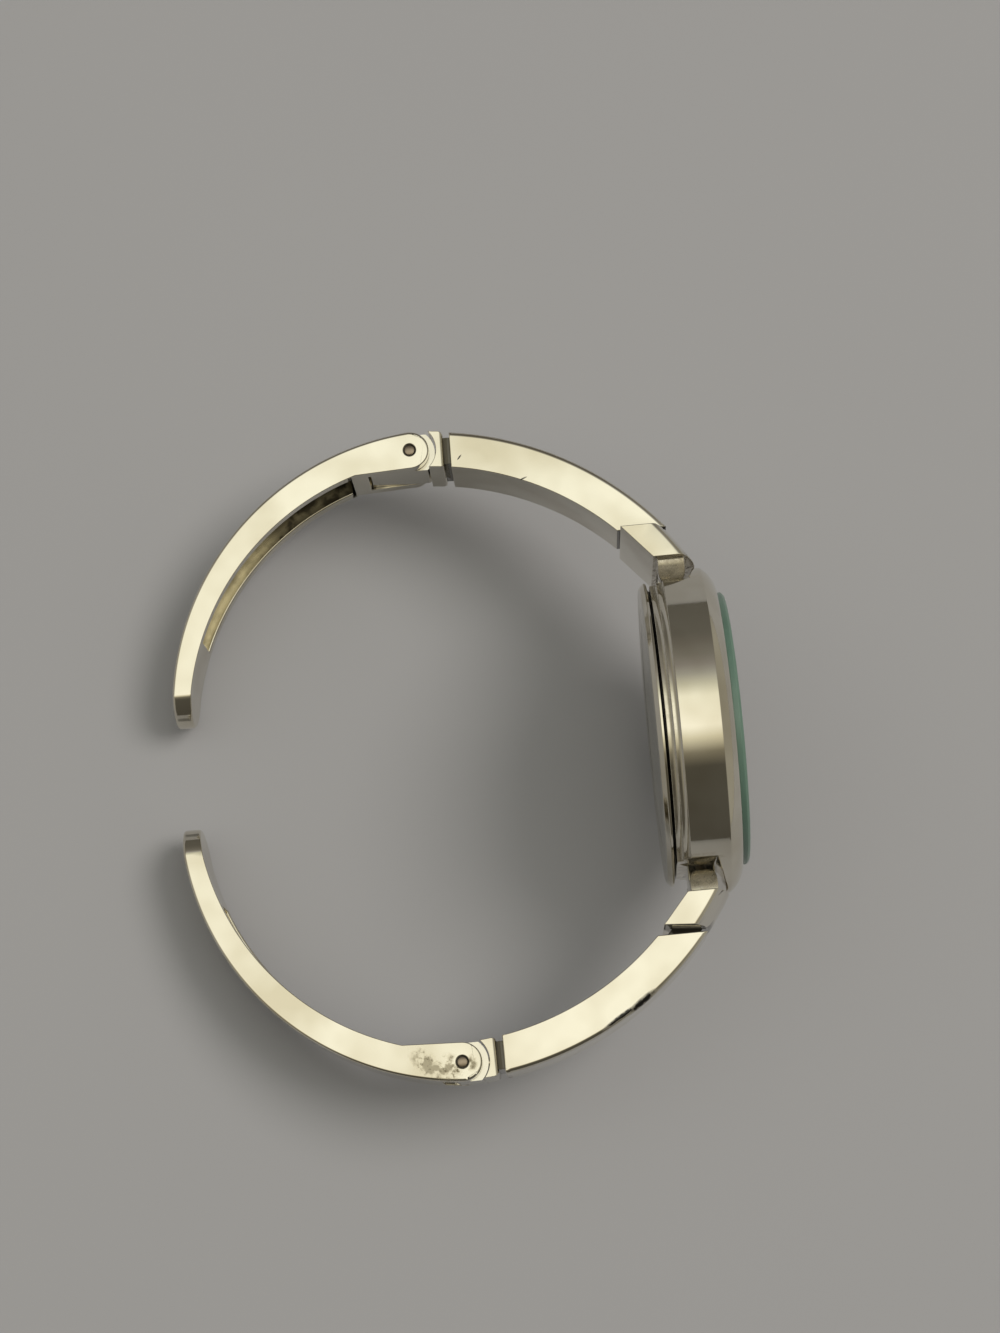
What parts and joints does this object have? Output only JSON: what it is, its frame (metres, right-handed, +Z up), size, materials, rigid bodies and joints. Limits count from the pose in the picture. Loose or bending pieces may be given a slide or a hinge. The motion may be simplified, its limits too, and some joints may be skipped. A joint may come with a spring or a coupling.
{
  "type": "bracelet watch",
  "caption": "Round quartz watch on a rigid open cuff bracelet: sprung hinged arms open to pass the wrist, crown pulls out to set the hands.",
  "frame": {"origin": "middle of the bounding box, on the surface that the watch lies on", "axes": "+Z up, +Y towards 12 o'clock, +X towards the dial side; the watch lies on its crown and cuff tips, so its dial axis leans up by the lean angle and 9 o'clock is on top"},
  "size_m": [0.0593, 0.0666, 0.0356],
  "materials": {
    "polished_steel": "mirror polished, plated",
    "hinge_steel": "polished, plated",
    "pin_steel": "turned",
    "spring_steel": "spring steel",
    "back_steel": "polished edge, finely brushed face",
    "crown_steel": "polished, fluted",
    "stem_steel": "turned",
    "green_glass": "polished mineral glass with a green edge",
    "seal_rubber": "moulded",
    "clear_gasket": "moulded, translucent",
    "silver_dial": "fine sunray silver",
    "silver_flange": "satin silver",
    "polished_trim": "diamond cut",
    "movement_brass": "plated, stamped",
    "holder_plastic": "moulded",
    "copper_winding": "enamelled winding",
    "circuit_green": "solder mask",
    "cell_steel": "pressed"
  },
  "bodies": {
    "root": {"case_body": "polished_steel", "case_back": "back_steel", "case_back_gasket": "seal_rubber", "crystal": "green_glass", "crystal_gasket": "clear_gasket", "flange_ring": "silver_flange", "dial": "silver_dial", "hour_markers": "polished_trim", "movement_holder": "holder_plastic", "main_plate": "movement_brass", "train_bridge": "movement_brass", "motor_coil": "copper_winding", "motor_stator": "spring_steel", "circuit_board": "circuit_green", "button_cell": "cell_steel", "cell_clamp": "spring_steel", "crown_tube": "crown_steel"},
    "setting_slide": {"setting_sleeve": "movement_brass"},
    "crown_set": {"crown": "crown_steel", "crown_stem": "stem_steel", "crown_seal": "seal_rubber"},
    "hour": {"hour_hand": "polished_trim", "hour_wheel": "movement_brass"},
    "minute": {"minute_hand": "polished_trim", "cannon_pinion": "movement_brass"},
    "motion_wheel": {"minute_wheel": "movement_brass"},
    "seconds": {"second_hand": "polished_trim", "seconds_arbor": "stem_steel"},
    "twelve_end": {"twelve_end_link": "polished_steel", "twelve_lug_pin": "pin_steel"},
    "twelve_arc": {"twelve_arc_link": "polished_steel", "twelve_tongue_pin": "pin_steel", "twelve_hinge_collar": "hinge_steel", "twelve_slider_spring": "spring_steel"},
    "twelve_slider": {"twelve_hinge_slider": "hinge_steel", "twelve_slider_nut": "pin_steel"},
    "twelve_arm": {"twelve_cuff_arm": "polished_steel", "twelve_hinge_pin": "pin_steel"},
    "six_end": {"six_end_link": "polished_steel", "six_lug_pin": "pin_steel"},
    "six_arc": {"six_arc_link": "polished_steel", "six_tongue_pin": "pin_steel", "six_hinge_collar": "hinge_steel", "six_slider_spring": "spring_steel"},
    "six_slider": {"six_hinge_slider": "hinge_steel", "six_slider_nut": "pin_steel"},
    "six_arm": {"six_cuff_arm": "polished_steel", "six_hinge_pin": "pin_steel"}
  },
  "joints": [
    {"name": "crown_pull", "type": "slide", "parent": "root", "child": "setting_slide", "axis": [0.2983, 0, -0.9545], "range_m": [0, 0.0008]},
    {"name": "crown_turn", "type": "hinge", "parent": "setting_slide", "child": "crown_set", "pos_m": [0.02573, 0, 0.00302], "axis": [0.2983, 0, -0.9545], "continuous": true},
    {"name": "minute_turn", "type": "hinge", "parent": "root", "child": "minute", "pos_m": [0.02187, 0, 0.01921], "axis": [-0.9545, 0, -0.2983], "continuous": true},
    {"name": "hour_turn", "type": "hinge", "parent": "root", "child": "hour", "pos_m": [0.02187, 0, 0.01921], "axis": [-0.9545, 0, -0.2983], "continuous": true},
    {"name": "minute_wheel_turn", "type": "hinge", "parent": "root", "child": "motion_wheel", "pos_m": [0.02116, 0, 0.0215], "axis": [-0.9545, 0, -0.2983], "continuous": true},
    {"name": "second_turn", "type": "hinge", "parent": "root", "child": "seconds", "pos_m": [0.02187, 0, 0.01921], "axis": [-0.9545, 0, -0.2983], "continuous": true},
    {"name": "twelve_end_pivot", "type": "hinge", "parent": "root", "child": "twelve_end", "pos_m": [0.02073, 0.01575, 0.01885], "axis": [-0.2983, 0, 0.9545], "range_deg": [-2.5, 2.5]},
    {"name": "twelve_arc_pivot", "type": "hinge", "parent": "twelve_end", "child": "twelve_arc", "pos_m": [0.01716, 0.02215, 0.01773], "axis": [-0.2983, 0, 0.9545], "range_deg": [-2.5, 2.5]},
    {"name": "twelve_slide", "type": "slide", "parent": "twelve_arc", "child": "twelve_slider", "axis": [-0.9235, 0.2526, -0.2886], "range_m": [0, 0.0012], "deforming": ["twelve_slider_spring"]},
    {"name": "twelve_swing", "type": "hinge", "parent": "twelve_slider", "child": "twelve_arm", "pos_m": [-0.00356, 0.0314, 0.01125], "axis": [0.2983, 0, -0.9545], "range_deg": [0, 32], "stiffness_Nm_per_rad": 0.12, "springref_deg": -14.32},
    {"name": "six_end_pivot", "type": "hinge", "parent": "root", "child": "six_end", "pos_m": [0.02073, -0.01575, 0.01885], "axis": [0.2983, 0, -0.9545], "range_deg": [-2.5, 2.5]},
    {"name": "six_arc_pivot", "type": "hinge", "parent": "six_end", "child": "six_arc", "pos_m": [0.01716, -0.02215, 0.01773], "axis": [0.2983, 0, -0.9545], "range_deg": [-2.5, 2.5]},
    {"name": "six_slide", "type": "slide", "parent": "six_arc", "child": "six_slider", "axis": [-0.9235, -0.2526, -0.2886], "range_m": [0, 0.0012], "deforming": ["six_slider_spring"]},
    {"name": "six_swing", "type": "hinge", "parent": "six_slider", "child": "six_arm", "pos_m": [-0.00356, -0.0314, 0.01125], "axis": [-0.2983, 0, 0.9545], "range_deg": [0, 32], "stiffness_Nm_per_rad": 0.12, "springref_deg": -14.32}
  ],
  "couplings": [
    {"joint": "hour_turn", "follows": "minute_turn", "ratio": 0.083333},
    {"joint": "minute_wheel_turn", "follows": "minute_turn", "ratio": -0.33333},
    {"joint": "twelve_slide", "follows": "twelve_swing", "m_per_rad": 0.0021486},
    {"joint": "six_slide", "follows": "six_swing", "m_per_rad": 0.0021486}
  ]
}
